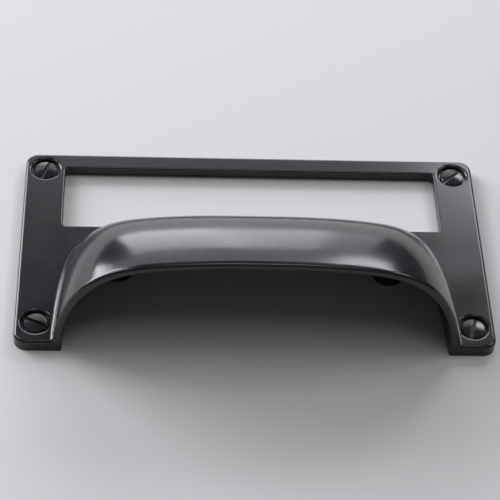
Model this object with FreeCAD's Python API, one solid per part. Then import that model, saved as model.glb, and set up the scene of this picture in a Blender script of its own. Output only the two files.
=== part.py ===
"""A one-piece cast label frame pull: a flat plate with a label window and a cup for the fingers."""
import FreeCAD, Part
import math
import os
from FreeCAD import Vector

# All sizes are millimetres. X runs along the width, Y up the plate from the cup's mouth to the
# label window, and Z out of the drawer front. The flat back is Z = 0, and the origin is its middle.
# Sizes named height or depth along Y are measured up from the plate's lower edge.

# Plate
plate_thickness = 3.2
plate_corner_radius = 3.0
edge_radius = 0.8

# Label window, and the recess behind it that holds the card
side_bar = 9.7
top_bar = 4.6
window_height = 19.5
window_corner_radius = 1.0
window_edge_radius = 0.45
card_lap = 1.0
card_recess_depth = 1.2

# Cup for the fingers
cup_width = 92.0
cup_side = 9.0
cup_depth = 34.3
cup_height = 26.9
cup_profile_angle = 71.0
mouth_lean = 3.2
arch_leg_ratio = 0.86
mouth_shoulder_ratio = 0.37
root_shoulder_ratio = 0.84
cup_wall = 1.8
lip_length = 1.2
root_radius = 1.0
lip_inner_radius = 0.5
window_land = 1.6

# Ornamental screw heads, cast into the four corners
head_side_inset = 4.9
head_top_inset = 5.15
head_bottom_inset = 6.0
head_recess_radius = 3.35
head_recess_depth = 1.1
head_recess_lip = 0.7
head_gap = 0.45
head_sunk = 0.15
head_dome = 0.3
head_chamfer = 0.3
slot_width = 0.9
slot_depth = 0.7
top_left_slot_angle = 70.0
top_right_slot_angle = 39.0
bottom_left_slot_angle = -28.0
bottom_right_slot_angle = 73.0

# Two bosses inside the cup for screws through the drawer front
screw_spacing = 64.0
screw_height = 25.0
boss_radius = 4.0
screw_hole_radius = 1.65
screw_hole_depth = 10.0
drill_point_angle = 118.0

# How finely the cup is drawn, and how far a cutter runs past the face that it opens
fan_steps = 7
fan_setback = 4.0
overrun = 1.0

# Sizes worked out from the ones above
face = plate_thickness
plate_width = cup_width + 2 * cup_side
window_width = plate_width - 2 * side_bar
window_floor = cup_depth + window_land
plate_height = window_floor + window_height + top_bar
head_radius = head_recess_radius - head_gap
cup_chord = math.hypot(cup_depth, cup_height)
cup_profile_radius = cup_chord / 2 / math.sin(math.radians(cup_profile_angle / 2))
roof = face + cup_height + overrun
tiny = 1e-4


def place_y(y):
    """The frame's Y of a height measured up from the plate's lower edge."""
    return y - plate_height / 2


def block(low_x, high_x, low_y, high_y, low_z, high_z):
    """A plain block, with its Y sizes measured up from the plate's lower edge."""
    return Part.makeBox(high_x - low_x, high_y - low_y, high_z - low_z,
                        Vector(low_x, place_y(low_y), low_z))


def edges_where(shape, test):
    """The edges whose two ends and middle pass the test."""
    chosen = []
    for edge in shape.Edges:
        first, last = edge.ParameterRange
        if test([edge.valueAt(first), edge.valueAt(last), edge.valueAt((first + last) / 2)]):
            chosen.append(edge)
    return chosen


def upright_rounded(width, low_y, high_y, low_z, high_z, radius):
    """A block centred on X = 0 with its four upright edges rounded."""
    sharp = block(-width / 2, width / 2, low_y, high_y, low_z, high_z)
    return sharp.makeFillet(radius, edges_where(sharp, lambda p: abs(p[0].z - p[1].z) > tiny))


# The cup: arches in a fan of planes that turn about a line along X, from flat on the plate up
# to the mouth, with a short straight lip in front of the last one
def profile_centre():
    """Centre (y, z over the face) of the arc that the crown follows from the lip to the plate."""
    reach = math.sqrt(cup_profile_radius ** 2 - (cup_chord / 2) ** 2)
    return (cup_depth / 2 - reach * cup_height / cup_chord,
            cup_height / 2 - reach * cup_depth / cup_chord)


def crown_reach(turn, inset):
    """Distance from the fan's line to the crown, for the surface that lies inset inside the cup."""
    centre_y, centre_z = profile_centre()
    off_y, off_z = -fan_setback - centre_y, -fan_setback - centre_z
    along = off_y * math.cos(turn) + off_z * math.sin(turn)
    radius = cup_profile_radius - inset
    return -along + math.sqrt(along ** 2 - off_y ** 2 - off_z ** 2 + radius ** 2)


def fan_point(x, reach, turn):
    """A point at a distance from the fan's line, in the fan's plane at that turn."""
    return Vector(x, place_y(-fan_setback + reach * math.cos(turn)),
                  face - fan_setback + reach * math.sin(turn))


def arch_section(turn, inset):
    """One closed section: two straight legs, and an arch that leans in towards the mouth."""
    half = cup_width / 2 - inset
    spring = fan_setback * (math.cos(turn) + math.sin(turn))
    crown = crown_reach(turn, inset)
    leg = spring + arch_leg_ratio * (crown - spring)
    lean = mouth_lean * math.sin(turn)
    narrowing = (root_shoulder_ratio - mouth_shoulder_ratio) * math.sin(turn)
    shoulder = half * (root_shoulder_ratio - narrowing)
    right_side = [(half, spring), (half - lean, leg), (shoulder, crown)]
    left_side = [(-x, reach) for x, reach in reversed(right_side)]
    poles = [fan_point(x, reach, turn) for x, reach in right_side + [(0, crown)] + left_side]
    arch = Part.BSplineCurve()
    arch.buildFromPolesMultsKnots(poles, (4, 1, 1, 1, 4), (0, 1, 2, 3, 4), False, 3)
    right_foot = fan_point(half, overrun, turn)
    left_foot = fan_point(-half, overrun, turn)
    return Part.Wire([arch.toShape(), Part.LineSegment(poles[-1], left_foot).toShape(),
                      Part.LineSegment(left_foot, right_foot).toShape(),
                      Part.LineSegment(right_foot, poles[0]).toShape()])


def half_cup(inset, mouth, floor):
    """The right half of the cup as a filled solid, from a floor up."""
    turns = [math.pi / 2 * step / fan_steps for step in range(fan_steps + 1)]
    fan = Part.makeLoft([arch_section(turn, inset) for turn in turns], True, False)
    back = fan.common(block(0, plate_width, lip_length, plate_height, floor, roof))
    end = [f for f in back.Faces if f.BoundBox.YMax < place_y(lip_length) + tiny]
    return back.fuse([f.extrude(Vector(0, mouth - lip_length, 0)) for f in end]).removeSplitter()


def finger_space():
    """The hollow in the cup's right half, out of the mouth and straight down to the back."""
    hollow = half_cup(cup_wall, -overrun, face)
    floors = [f for f in hollow.Faces if f.BoundBox.ZMax < face + tiny]
    return hollow.fuse([f.extrude(Vector(0, 0, -face - overrun)) for f in floors])


# The plate and the cup as one half casting, from the middle to the right side
def plate_blank():
    """The plate with its label window and the window's rounded rim."""
    plate = upright_rounded(plate_width, 0, plate_height, 0, face, plate_corner_radius)
    plate = plate.cut(upright_rounded(window_width, window_floor, window_floor + window_height,
                                      -overrun, face + overrun, window_corner_radius))
    rim = edges_where(plate, lambda p: all(v.z > face - tiny and inside_frame(v) for v in p))
    return plate.makeFillet(window_edge_radius, rim)


def inside_frame(point):
    """Whether a point is on the window's outline or inside it."""
    low, high = place_y(window_floor) - tiny, place_y(window_floor + window_height) + tiny
    return abs(point.x) < window_width / 2 + tiny and low < point.y < high


def on_outline(points):
    """Whether an edge runs round the outside of the face: plate's rim, root ends and lip."""
    side, front, back = plate_width / 2 - plate_corner_radius, place_y(0), place_y(plate_height)
    outside = all(v.x > side - tiny or v.y < front + tiny or v.y > back - tiny for v in points)
    middle = all(v.x < tiny for v in points)
    return outside and not middle and all(v.z > face - tiny for v in points)


def on_root(points):
    """Whether an edge is where the cup's outside meets the face of the plate."""
    reach = cup_width / 2 + tiny
    low, high = place_y(0) + tiny, place_y(cup_depth + window_land / 2)
    return (all(abs(v.z - face) < tiny and v.x < reach and v.y < high for v in points)
            and points[2].y > low and points[2].x > overrun)


def on_mouth(points):
    """Whether an edge runs round the inside of the mouth, from the back up and over."""
    reach = cup_width / 2 - cup_wall + tiny
    crown = face + cup_height
    return (all(v.y < place_y(0) + tiny and v.x < reach for v in points)
            and any(v.x > tiny for v in points) and all(v.z < crown - tiny for v in points))


def half_casting():
    """The right half, with its cup rounded into the plate and hollowed."""
    right_side = block(0, plate_width, 0, plate_height, 0, roof)
    half = plate_blank().common(right_side).fuse(half_cup(0, 0, face / 2)).removeSplitter()
    half = half.makeFillet(root_radius, edges_where(half, on_root))
    half = half.makeFillet(edge_radius, edges_where(half, on_outline))
    half = half.cut(finger_space())
    half = half.makeFillet(lip_inner_radius, edges_where(half, on_mouth))
    return add_boss(half).removeSplitter()


def add_boss(half):
    """The half casting with its screw boss, which ends inside the cup's wall."""
    centre = Vector(screw_spacing / 2, place_y(screw_height), 0)
    boss = Part.makeCylinder(boss_radius, roof, centre).common(half_cup(cup_wall / 2, 0, 0))
    return half.fuse(boss).cut(screw_hole(centre))


def screw_hole(mouth):
    """A blind hole at tapping size, with the cone that the drill's point leaves."""
    point = screw_hole_radius / math.tan(math.radians(drill_point_angle / 2))
    bore = Part.makeCylinder(screw_hole_radius, screw_hole_depth + overrun,
                             mouth - Vector(0, 0, overrun))
    tip = Part.makeCone(screw_hole_radius, 0, point, mouth + Vector(0, 0, screw_hole_depth))
    return bore.fuse(tip)


# The card recess and the ornamental heads
def cut_card_recess(casting):
    """The casting with a shallow recess round the back of the window."""
    return casting.cut(upright_rounded(window_width + 2 * card_lap, window_floor - card_lap,
                                       window_floor + window_height + card_lap, -overrun,
                                       card_recess_depth, window_corner_radius + card_lap))


def head_places():
    """Where each ornamental head stands on the face, and the angle of its slot."""
    side = plate_width / 2 - head_side_inset
    top, bottom = place_y(plate_height - head_top_inset), place_y(head_bottom_inset)
    return [(Vector(-side, top, face), top_left_slot_angle),
            (Vector(side, top, face), top_right_slot_angle),
            (Vector(-side, bottom, face), bottom_left_slot_angle),
            (Vector(side, bottom, face), bottom_right_slot_angle)]


def turned_solid(place, edges):
    """A profile beside the Z axis, turned all the way round and moved to its place."""
    profile = Part.Face(Part.Wire(edges))
    solid = profile.revolve(Vector(0, 0, 0), Vector(0, 0, 1), 360)
    solid.translate(place)
    return solid


def recess_cutter(place):
    """The round recess of a head, with a rolled lip, where the cup's root leaves room for it."""
    inner, lip = head_recess_radius, head_recess_lip
    outer, floor, mouth = inner + lip, -head_recess_depth, overrun
    halfway = lip * (1 - math.cos(math.pi / 4))
    points = [Vector(0, 0, floor), Vector(inner, 0, floor), Vector(inner, 0, -lip),
              Vector(outer, 0, 0), Vector(outer, 0, mouth), Vector(0, 0, mouth)]
    edges = [Part.makeLine(a, b) for a, b in zip(points, points[1:] + points[:1])]
    edges[2] = Part.Arc(points[2], Vector(inner + halfway, 0, -halfway), points[3]).toShape()
    reach = cup_width / 2 + root_radius
    return turned_solid(place, edges).cut(block(-reach, reach, 0, cup_depth, 0, roof))


def slotted_head(place, slot_angle):
    """A low domed head with a chamfered edge and a straight slot, on the floor of its recess."""
    root, top = -head_recess_depth - overrun / 2, -head_sunk
    shoulder = top - head_dome
    crown = head_radius - head_chamfer
    dome_radius = (crown ** 2 + head_dome ** 2) / (2 * head_dome)
    halfway = math.sqrt(dome_radius ** 2 - (crown / 2) ** 2) - dome_radius
    points = [Vector(0, 0, root), Vector(head_radius, 0, root),
              Vector(head_radius, 0, shoulder - head_chamfer), Vector(crown, 0, shoulder),
              Vector(0, 0, top)]
    edges = [Part.makeLine(a, b) for a, b in zip(points, points[1:] + points[:1])]
    edges[3] = Part.Arc(points[3], Vector(crown / 2, 0, top + halfway), points[4]).toShape()
    length = 2 * head_radius + overrun
    slot = Part.makeBox(length, slot_width, slot_depth + overrun,
                        place + Vector(-length / 2, -slot_width / 2, top - slot_depth))
    slot.rotate(place, Vector(0, 0, 1), slot_angle)
    return turned_solid(place, edges).cut(slot)


def pull_casting():
    """The whole casting: both halves, the card recess and the four heads."""
    half = half_casting()
    casting = half.fuse(half.mirror(Vector(0, 0, 0), Vector(1, 0, 0))).removeSplitter()
    casting = cut_card_recess(casting)
    for place, slot_angle in head_places():
        casting = casting.cut(recess_cutter(place)).fuse(slotted_head(place, slot_angle))
    return casting.Solids[0]


def main():
    """Write the one node."""
    os.makedirs("parts", exist_ok=True)
    casting = pull_casting()
    casting.exportStep("parts/pull_casting.step")
    print("volume mm3", round(casting.Volume, 1), "valid", casting.isValid(),
          "faces", len(casting.Faces), "box", casting.BoundBox)


main()
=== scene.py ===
import math

import bpy
from mathutils import Matrix, Vector

MM = 0.001

# The photograph's camera, in degrees, millimetres and pixels of its square frame
CAMERA_AZIMUTH = -4.83
CAMERA_ELEVATION = 47.49
CAMERA_ROLL = 4.46
CAMERA_DISTANCE = 432.8
CAMERA_TARGET = (-0.79, -1.14, 3.2)
FOCAL_PIXELS = 1829.0
FRAME_PIXELS = 500
SENSOR_WIDTH = 36.0
NEAREST_SEEN = 10.0

# The room: a pale floor, and soft lamps placed by the direction in which they stand
FLOOR_SIZE = 6000.0
FLOOR_COLOR = (0.60, 0.60, 0.59, 1.0)
FLOOR_ROUGHNESS = 0.9
ROOM_COLOR = (0.92, 0.94, 1.0, 1.0)
ROOM_STRENGTH = 0.12
LAMP_DISTANCE = 1000.0
LAMP_COLOR = (0.95, 0.95, 1.0)

# Each lamp's azimuth, elevation, width and height in degrees, and its radiance
LAMPS = {
    "low_window": (-9, 14.5, 22, 27, 4.4),
    "low_window_fade": (6, 14.5, 8, 27, 3.3),
    "low_window_end": (14, 14.5, 8, 27, 1.4),
    "left_window": (-57, 23, 32, 34, 9.5),
    "high_window": (-6, 37.5, 66, 15, 1.5),
    "right_window": (28.5, 37.5, 20, 13, 8.5),
    "left_side": (-80, 52, 22, 18, 4.5),
    "right_side": (80, 48, 22, 18, 4.5),
    "overhead": (165, 76, 20, 20, 3.0),
}

# The black coat: colours, lengths in millimetres, the noises' detail, then shares from 0 to 1
COAT_COLOR = (0.010, 0.010, 0.012)
WORN_COLOR = (0.035, 0.035, 0.038)
DUST_COLOR = (0.060, 0.058, 0.055)
PEEL_WAVE = 1.1
PEEL_HEIGHT = 0.006
CLOUD_WAVE = 14.0
SPECK_WAVE = 2.2
EDGE_WIDTH = 0.7
PEEL_DETAIL = 2.0
CLOUD_DETAIL = 4.0
SPECK_DETAIL = 5.0
COAT_ROUGHNESS = 0.18
ROUGHNESS_SPREAD = 0.05
CLOUD_LOW = 0.3
CLOUD_HIGH = 0.7
CLOUD_SHARE = 0.25
RUB_LOW = 0.35
RUB_HIGH = 0.65
LEAST_RUB = 0.3
RUB_SHARE = 0.8
SPECK_LOW = 0.74
SPECK_HIGH = 0.82
SPECK_SHARE = 0.6
SPECK_ROUGHNESS = 0.3

# The edge mask: the cosine between the true normal and the rounded one, on a face and on an edge
FACE_COSINE = 0.995
EDGE_COSINE = 0.90
EDGE_SAMPLES = 4


def direction(azimuth, elevation):
    """Unit vector from the object. Azimuth 0 is +Y, behind the object, and +X is at 90 degrees."""
    azimuth, elevation = math.radians(azimuth), math.radians(elevation)
    return Vector((math.sin(azimuth) * math.cos(elevation),
                   math.cos(azimuth) * math.cos(elevation), math.sin(elevation)))


def add_camera():
    """The photograph's camera: direction from azimuth and elevation, then a roll about its axis."""
    back = direction(180 - CAMERA_AZIMUTH, CAMERA_ELEVATION)
    roll = math.radians(CAMERA_ROLL)
    right = (-back).cross(Vector((0, 0, 1))).normalized()
    up = right.cross(-back)
    rolled_right = math.cos(roll) * right + math.sin(roll) * up
    rolled_up = math.cos(roll) * up - math.sin(roll) * right
    data = bpy.data.cameras.new("camera")
    data.sensor_width = SENSOR_WIDTH
    data.lens = FOCAL_PIXELS * SENSOR_WIDTH / FRAME_PIXELS
    data.clip_start = NEAREST_SEEN * MM
    camera = bpy.data.objects.new("camera", data)
    bpy.context.scene.collection.objects.link(camera)
    place = (Vector(CAMERA_TARGET) + back * CAMERA_DISTANCE) * MM
    turn = Matrix((rolled_right, rolled_up, back)).transposed().to_4x4()
    camera.matrix_world = Matrix.Translation(place) @ turn
    bpy.context.scene.camera = camera


def add_lamp(name, azimuth, elevation, width, height, radiance):
    """A soft rectangular lamp that faces the object. Width and height are angles in degrees."""
    data = bpy.data.lights.new(name, "AREA")
    data.shape = "RECTANGLE"
    data.size = 2 * math.tan(math.radians(width / 2)) * LAMP_DISTANCE * MM
    data.size_y = 2 * math.tan(math.radians(height / 2)) * LAMP_DISTANCE * MM
    data.energy = radiance * math.pi * data.size * data.size_y
    data.color = LAMP_COLOR
    lamp = bpy.data.objects.new(name, data)
    bpy.context.scene.collection.objects.link(lamp)
    toward = direction(azimuth, elevation)
    lamp.location = toward * LAMP_DISTANCE * MM
    lamp.rotation_euler = (-toward).to_track_quat("-Z", "Y").to_euler()


def add_room():
    """The dim soft light from everywhere else."""
    world = bpy.data.worlds.new("room")
    bpy.context.scene.world = world
    world.use_nodes = True
    background = world.node_tree.nodes["Background"]
    background.inputs["Color"].default_value = ROOM_COLOR
    background.inputs["Strength"].default_value = ROOM_STRENGTH


def add_floor():
    """A plain pale floor that the plate's back lies on."""
    half = FLOOR_SIZE / 2 * MM
    mesh = bpy.data.meshes.new("floor")
    mesh.from_pydata([(-half, -half, 0), (half, -half, 0), (half, half, 0), (-half, half, 0)],
                     [], [(0, 1, 2, 3)])
    floor = bpy.data.objects.new("floor", mesh)
    bpy.context.scene.collection.objects.link(floor)
    material = bpy.data.materials.new("floor")
    material.use_nodes = True
    shader = material.node_tree.nodes["Principled BSDF"]
    shader.inputs["Base Color"].default_value = FLOOR_COLOR
    shader.inputs["Roughness"].default_value = FLOOR_ROUGHNESS
    mesh.materials.append(material)


class Graph:
    """Short calls for the nodes of one material."""

    def __init__(self, material):
        material.use_nodes = True
        self.nodes = material.node_tree.nodes
        self.links = material.node_tree.links
        self.shader = self.nodes["Principled BSDF"]
        self.place = self.nodes.new("ShaderNodeTexCoord").outputs["Object"]

    def noise(self, wave, detail):
        """Noise with a wavelength in millimetres, as a value from 0 to 1."""
        node = self.nodes.new("ShaderNodeTexNoise")
        node.inputs["Scale"].default_value = 1 / (wave * MM)
        node.inputs["Detail"].default_value = detail
        self.links.new(self.place, node.inputs["Vector"])
        return node.outputs["Fac"]

    def remap(self, value, low, high, to_low, to_high):
        """The value carried smoothly from one range to another, and clamped."""
        node = self.nodes.new("ShaderNodeMapRange")
        node.interpolation_type = "SMOOTHSTEP"
        self.links.new(value, node.inputs["Value"])
        for name, number in (("From Min", low), ("From Max", high),
                             ("To Min", to_low), ("To Max", to_high)):
            node.inputs[name].default_value = number
        return node.outputs["Result"]

    def math(self, operation, first, second):
        """One arithmetic node. The second value may be a number."""
        node = self.nodes.new("ShaderNodeMath")
        node.operation = operation
        self.links.new(first, node.inputs[0])
        if isinstance(second, (int, float)):
            node.inputs[1].default_value = second
        else:
            self.links.new(second, node.inputs[1])
        return node.outputs["Value"]

    def blend(self, share, first, second):
        """A colour between two, each one a socket or three numbers."""
        node = self.nodes.new("ShaderNodeMix")
        node.data_type = "RGBA"
        sockets = [s for s in node.inputs if s.type == "RGBA"]
        self.links.new(share, node.inputs["Factor"])
        for socket, color in zip(sockets, (first, second)):
            if isinstance(color, tuple):
                socket.default_value = (*color, 1.0)
            else:
                self.links.new(color, socket)
        return [s for s in node.outputs if s.type == "RGBA"][0]

    def edge_mask(self, width):
        """1 near a sharp or tight edge, and 0 on the open faces."""
        bevel = self.nodes.new("ShaderNodeBevel")
        bevel.samples = EDGE_SAMPLES
        bevel.inputs["Radius"].default_value = width * MM
        geometry = self.nodes.new("ShaderNodeNewGeometry")
        dot = self.nodes.new("ShaderNodeVectorMath")
        dot.operation = "DOT_PRODUCT"
        self.links.new(bevel.outputs["Normal"], dot.inputs[0])
        self.links.new(geometry.outputs["Normal"], dot.inputs[1])
        return self.remap(dot.outputs["Value"], FACE_COSINE, EDGE_COSINE, 0.0, 1.0)

    def bump(self, height, depth):
        """A bump of a depth in millimetres, into the shader's normal."""
        node = self.nodes.new("ShaderNodeBump")
        node.inputs["Strength"].default_value = 1.0
        node.inputs["Distance"].default_value = depth * MM
        self.links.new(height, node.inputs["Height"])
        self.links.new(node.outputs["Normal"], self.shader.inputs["Normal"])


def black_coat():
    """Semi-gloss black coat: faint orange peel, uneven gloss, rubbed edges, a little dust."""
    material = bpy.data.materials.new("black_coat")
    graph = Graph(material)
    peel = graph.noise(PEEL_WAVE, PEEL_DETAIL)
    cloud = graph.noise(CLOUD_WAVE, CLOUD_DETAIL)
    specks = graph.remap(graph.noise(SPECK_WAVE, SPECK_DETAIL),
                         SPECK_LOW, SPECK_HIGH, 0.0, SPECK_SHARE)
    rubbed = graph.math("MULTIPLY", graph.edge_mask(EDGE_WIDTH),
                        graph.remap(cloud, RUB_LOW, RUB_HIGH, LEAST_RUB, 1.0))
    clouded = graph.remap(cloud, CLOUD_LOW, CLOUD_HIGH, 0.0, CLOUD_SHARE)
    color = graph.blend(clouded, COAT_COLOR, WORN_COLOR)
    color = graph.blend(graph.math("MULTIPLY", rubbed, RUB_SHARE), color, WORN_COLOR)
    color = graph.blend(specks, color, DUST_COLOR)
    roughness = graph.remap(cloud, CLOUD_LOW, CLOUD_HIGH, COAT_ROUGHNESS - ROUGHNESS_SPREAD / 2,
                            COAT_ROUGHNESS + ROUGHNESS_SPREAD / 2)
    dusty = graph.math("MULTIPLY", specks, SPECK_ROUGHNESS)
    roughness = graph.math("ADD", roughness, dusty)
    graph.links.new(color, graph.shader.inputs["Base Color"])
    graph.links.new(roughness, graph.shader.inputs["Roughness"])
    graph.bump(peel, PEEL_HEIGHT)
    return material


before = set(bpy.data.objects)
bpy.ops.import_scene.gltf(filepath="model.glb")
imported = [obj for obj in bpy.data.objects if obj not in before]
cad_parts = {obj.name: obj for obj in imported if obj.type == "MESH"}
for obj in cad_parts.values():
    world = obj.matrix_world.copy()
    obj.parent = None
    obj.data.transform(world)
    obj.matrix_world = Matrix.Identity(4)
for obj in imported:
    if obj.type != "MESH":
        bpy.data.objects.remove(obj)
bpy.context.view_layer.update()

bpy.context.scene.view_settings.view_transform = "Standard"

coat = black_coat()
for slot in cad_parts["pull_casting"].material_slots:
    slot.material = coat

add_floor()
add_room()
for name, numbers in LAMPS.items():
    add_lamp(name, *numbers)
add_camera()
